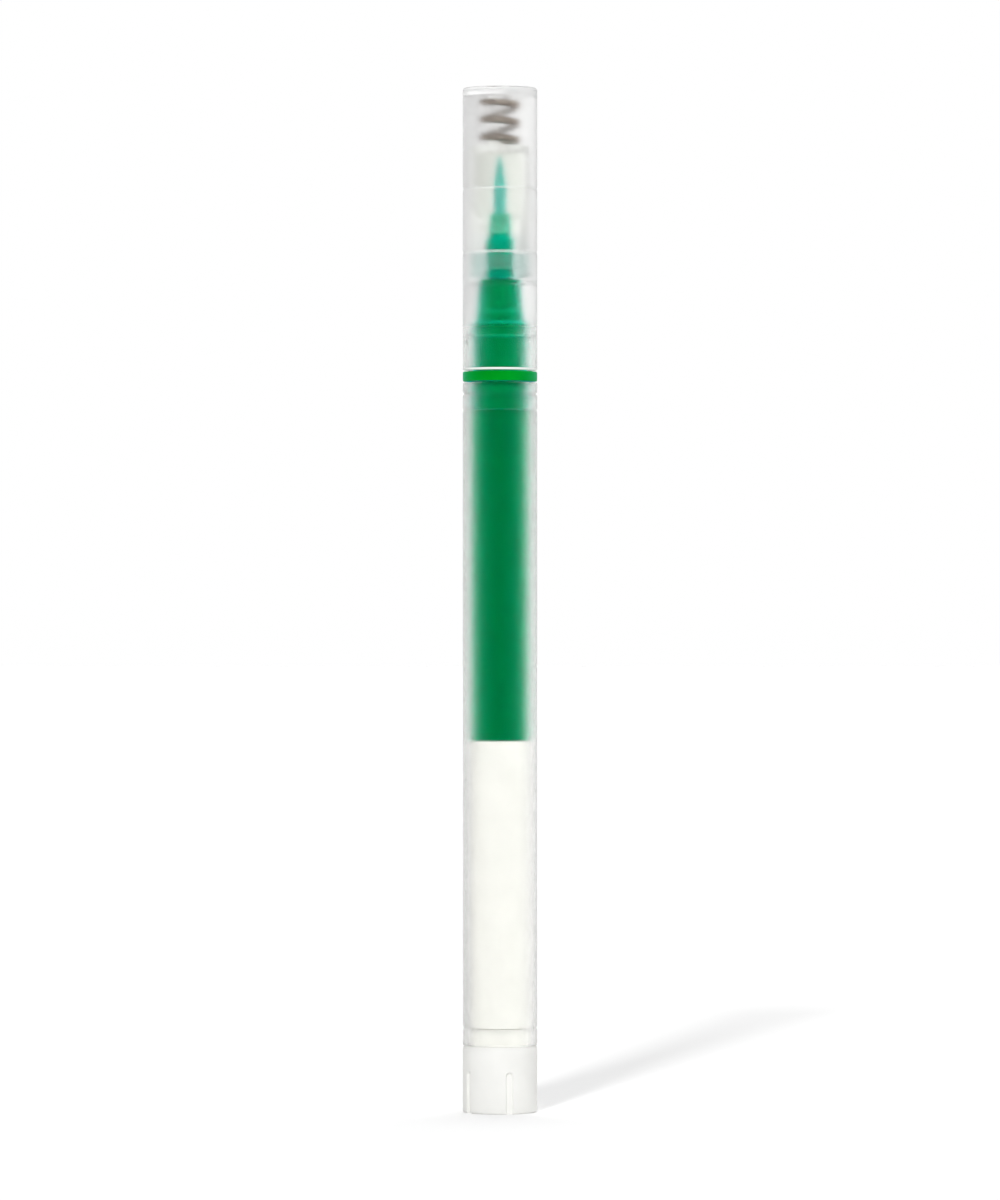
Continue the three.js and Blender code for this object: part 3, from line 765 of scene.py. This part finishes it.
def sealing_cup():
    """The cup's materials change with height: a clear crown and seal, then a flange and a lip whose
    outside takes a teal-grey tint, painted shade, while their bore takes the clear seal plastic."""
    lead_in = FLANGE_RADIUS + FIT_GAP
    lip_top, flange_top = CUP_BOTTOM + 1.2, CUP_BOTTOM + 3.2
    seal_bore, mid_bore, wide_bore = 1.96, 2.25, CUP_RADIUS - CUP_WALL
    relief_bore = seal_bore + FIT_GAP
    land_bottom = HOLDER_SEAT + 3.55
    land_top = land_bottom + 1.7
    relief_top = land_bottom - 0.35
    seal_top = land_top + 0.8
    mid_bottom, mid_top = land_top + 0.9, land_top + 2.5
    wide_bottom = land_top + 3.4
    corners = [
        (0, CUP_CEILING), (wide_bore, CUP_CEILING, ROUND_EDGE), (wide_bore, wide_bottom, ROUND_EDGE),
        (mid_bore, mid_top, ROUND_EDGE), (mid_bore, mid_bottom, ROUND_EDGE),
        (seal_bore, land_top, ROUND_EDGE), (seal_bore, land_bottom, FINE_EDGE),
        (relief_bore, relief_top), (relief_bore, lip_top, FINE_EDGE), (lead_in, CUP_BOTTOM, FINE_EDGE),
        (CUP_RADIUS, CUP_BOTTOM, CUP_LIP_EDGE), (CUP_RADIUS, lip_top), (CUP_RADIUS, flange_top),
        (CUP_RADIUS, seal_top), (CUP_RADIUS, CUP_TOP, SOFT_EDGE), (SPRING_BOSS, CUP_TOP, FINE_EDGE),
        (SPRING_BOSS, CUP_BOSS_TOP, SOFT_EDGE), (0, CUP_BOSS_TOP),
    ]

    def zone(radius, height):
        # Outer faces of the flange and lip take the painted shade, and bore faces the clear seal
        # plastic
        below = sum(height < top for top in (lip_top, flange_top, seal_top))
        return min(below, 1) if radius < lead_in else below

    materials = [CUP_UPPER, CUP_SEAL, CUP_FLANGE_SHADE, CUP_LIP_SHADE]
    piece = turned("inner_sealing_cup", corners, materials, choose=zone)
    return place(piece, "sealing_cup", "sealing_cup")


SPRING_STEPS_PER_TURN = 48
WIRE_SIDES = 12


def spring_rise(turns):
    """How much of the spring's height it has climbed after some turns: partly evenly, and partly
    behind, between its turns."""
    climbs = [smooth_step(turns, back - SPRING_CLIMB, back + SPRING_CLIMB)
              for back in range(1, SPRING_TURNS)]
    behind = sum(climbs) / len(climbs)
    return SPRING_EVENNESS * turns / SPRING_TURNS + (1 - SPRING_EVENNESS) * behind


def cap_spring():
    """A left-hand helix of round wire that climbs most behind, so that its turns lie flatter in
    front and its ends flatter on their seats."""
    steps = SPRING_TURNS * SPRING_STEPS_PER_TURN
    coil = SPRING_RADIUS - SPRING_WIRE / 2
    rise = SPRING_TOP - SPRING_BOTTOM - SPRING_WIRE
    centres = []
    for step in range(steps + 1):
        turns = step / SPRING_STEPS_PER_TURN
        angle = math.pi / 2 - 2 * math.pi * turns
        height = SPRING_BOTTOM + SPRING_WIRE / 2 + rise * spring_rise(turns)
        centres.append(Vector((coil * math.cos(angle), coil * math.sin(angle), height)))
    work = bmesh.new()
    rings = []
    for i, centre in enumerate(centres):
        forward = (centres[min(i + 1, steps)] - centres[max(i - 1, 0)]).normalized()
        outward = Vector((centre.x, centre.y, 0)).normalized()
        upward = forward.cross(outward).normalized()
        outward = upward.cross(forward)
        ring = []
        for side in range(WIRE_SIDES):
            turn = 2 * math.pi * side / WIRE_SIDES
            offset = outward * math.cos(turn) + upward * math.sin(turn)
            ring.append(work.verts.new((centre + offset * SPRING_WIRE / 2) * MM))
        rings.append(ring)
    for ring, following in zip(rings, rings[1:]):
        for side in range(WIRE_SIDES):
            after = (side + 1) % WIRE_SIDES
            work.faces.new((ring[side], following[side], following[after], ring[after]))
    work.faces.new(rings[0])
    work.faces.new(list(reversed(rings[-1])))
    bmesh.ops.recalc_face_normals(work, faces=work.faces)
    mesh = bpy.data.meshes.new("steel_cap_spring")
    work.to_mesh(mesh)
    work.free()
    piece = place(new_object("steel_cap_spring", mesh, [STEEL]), "cap", "cap_spring")
    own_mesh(piece)
    return piece


tail_plug()
barrel()
spacer_tube()
reservoir_core()
reservoir_sleeve()
front_section()
nib_holder()
fibre_nib()
cap_shell()
sealing_cup()
cap_spring()


# Stage, light and camera

CAMERA_DISTANCE = 0.8926
CAMERA_HEIGHT = 0.0687
LENS = 199.5
SENSOR_WIDTH = 36
VIEW_END = 50
FLOOR_HALF = 6.0
KEY_FROM = Vector((-49, -228, 137))
KEY_STRENGTH = 1.5
KEY_ANGLE = math.radians(5)
FILL_STRENGTH = 0.5
FILL_LEAN = 0.85
FILL_SIDE_LOSS = 0.55
BOX_FROM = Vector((0, 0.45, 0.89))
BOX_LEVEL = 2.3
BOX_EDGE = (0.88, 0.95)
ROOM_LEVEL = 0.3
BACKDROP_EDGE = (-0.6, 0.2)
FLOOR_COLOUR = (0.9, 0.9, 0.9)
FLOOR_GLOW = 0.145
INSIDE_FILL = 1.5
INSIDE_SIDES = 2.2
INSIDE_LEAN = 0.28
THROUGH_PEAK = 1.4
THROUGH_LEVELS = [
    (-0.7, 0.82), (-0.45, 0.76), (-0.3, 0.6), (-0.15, 0.6), (0, 0.9), (0.2, 1.0), (0.5, 1.3),
]


def seen_directly(tree):
    """1 for what the camera sees, also in a reflection or through glass, and 0 for what only lights
    a surface."""
    path = tree.nodes.new("ShaderNodeLightPath").outputs
    seen = math_node(tree, "MAXIMUM", path["Is Camera Ray"], path["Is Glossy Ray"])
    seen = math_node(tree, "MAXIMUM", seen, path["Is Transmission Ray"])
    return math_node(tree, "MULTIPLY", seen, math_node(tree, "LESS_THAN", path["Diffuse Depth"], 0.5))


def blended(tree, factor, first, second):
    node = tree.nodes.new("ShaderNodeMix")
    for name, value in (("Factor", factor), ("A", first), ("B", second)):
        feed(tree, node.inputs[name], value)
    return node.outputs["Result"]


def floor():
    work = bmesh.new()
    corners = [(-1, -1), (1, -1), (1, 1), (-1, 1)]
    work.faces.new([work.verts.new((x * FLOOR_HALF, y * FLOOR_HALF, 0)) for x, y in corners])
    mesh = bpy.data.meshes.new("studio_floor")
    work.to_mesh(mesh)
    work.free()
    material, tree, shader = new_material("white_floor")
    shader.inputs["Base Color"].default_value = (*FLOOR_COLOUR, 1)
    shader.inputs["Roughness"].default_value = 1.0
    shader.inputs["Specular IOR Level"].default_value = 0.0
    shader.inputs["Emission Color"].default_value = (1, 1, 1, 1)
    glow = spread(tree, seen_directly(tree), 0.0, FLOOR_GLOW)
    tree.links.new(glow, shader.inputs["Emission Strength"])
    mesh.materials.append(material)
    piece = bpy.data.objects.new("studio_floor", mesh)
    bpy.context.scene.collection.objects.link(piece)


def seen_through(tree, across):
    """Level of the backdrop where the shells show it, by direction from left (-1) to right (1)."""
    node = tree.nodes.new("ShaderNodeValToRGB")
    elements = node.color_ramp.elements
    while len(elements) < len(THROUGH_LEVELS):
        elements.new(0.5)
    for element, (direction, level) in zip(elements, THROUGH_LEVELS):
        element.position = (direction + 1) / 2
        element.color = (*[level / THROUGH_PEAK] * 3, 1)
    tree.links.new(spread(tree, across, 0, 1, -1, 1), node.inputs["Fac"])
    return math_node(tree, "MULTIPLY", node.outputs["Color"], THROUGH_PEAK)


def soft_box(tree, direction):
    """Level of the soft box, high up at the back."""
    node = tree.nodes.new("ShaderNodeVectorMath")
    node.operation = "DOT_PRODUCT"
    node.inputs[1].default_value = BOX_FROM.normalized()
    tree.links.new(direction, node.inputs[0])
    return spread(tree, node.outputs["Value"], 0, BOX_LEVEL, *BOX_EDGE)


def world():
    """A white backdrop, dimmer to the left where the shells bend the view, a dimmer room on the
    camera's side that only reflections show, and a fill that leans to the right with a soft box at
    the back. The frosted shells gather some more light for what they hold."""
    sky = bpy.data.worlds.new("studio")
    bpy.context.scene.world = sky
    sky.use_nodes = True
    sky.cycles.sampling_method = "NONE"
    tree = sky.node_tree
    background = tree.nodes["Background"]
    background.inputs["Color"].default_value = (1, 1, 1, 1)
    coords = tree.nodes.new("ShaderNodeTexCoord")
    direction = tree.nodes.new("ShaderNodeSeparateXYZ")
    tree.links.new(coords.outputs["Generated"], direction.inputs["Vector"])
    across = direction.outputs["X"]
    path = tree.nodes.new("ShaderNodeLightPath").outputs
    reflected = spread(tree, direction.outputs["Y"], ROOM_LEVEL, 1.0, *BACKDROP_EDGE)
    seen = blended(tree, path["Is Glossy Ray"], 1.0, reflected)
    seen = blended(tree, path["Is Transmission Ray"], seen, seen_through(tree, across))
    sideways = math_node(tree, "POWER", math_node(tree, "ABSOLUTE", across), 2)
    fill_left, fill_right = FILL_STRENGTH * (1 - FILL_LEAN), FILL_STRENGTH * (1 + FILL_LEAN)
    fill = spread(tree, across, fill_left, fill_right, -1, 1)
    fill = math_node(tree, "MULTIPLY", fill, spread(tree, sideways, 1, 1 - FILL_SIDE_LOSS))
    fill = math_node(tree, "ADD", fill, soft_box(tree, coords.outputs["Generated"]))
    from_sides = math_node(tree, "POWER", sideways, 2)
    gathered = math_node(tree, "MULTIPLY_ADD", from_sides, INSIDE_SIDES, INSIDE_FILL)
    lean = spread(tree, across, 1 - INSIDE_LEAN, 1 + INSIDE_LEAN, -1, 1)
    gathered = math_node(tree, "MULTIPLY", gathered, lean)
    lighting = blended(tree, path["Is Transmission Ray"], fill, gathered)
    tree.links.new(blended(tree, seen_directly(tree), lighting, seen), background.inputs["Strength"])


def key_light():
    lamp = bpy.data.lights.new("key", "SUN")
    lamp.energy = KEY_STRENGTH
    lamp.angle = KEY_ANGLE
    lamp.cycles.use_multiple_importance_sampling = False
    holder = bpy.data.objects.new("key", lamp)
    holder.rotation_euler = KEY_FROM.to_track_quat("Z", "Y").to_euler()
    holder.visible_glossy = False
    bpy.context.scene.collection.objects.link(holder)


def camera():
    lens = bpy.data.cameras.new("photo_camera")
    lens.lens = LENS
    lens.sensor_width = SENSOR_WIDTH
    lens.sensor_fit = "AUTO"
    lens.clip_end = VIEW_END
    holder = bpy.data.objects.new("photo_camera", lens)
    holder.location = (0, -CAMERA_DISTANCE, CAMERA_HEIGHT)
    holder.rotation_euler = (math.pi / 2, 0, 0)
    bpy.context.scene.collection.objects.link(holder)
    bpy.context.scene.camera = holder


floor()
world()
key_light()
camera()

scene = bpy.context.scene
scene.view_settings.view_transform = "Standard"
scene.cycles.max_bounces = 24
scene.cycles.transmission_bounces = 24
scene.cycles.glossy_bounces = 8
scene.cycles.diffuse_bounces = 6
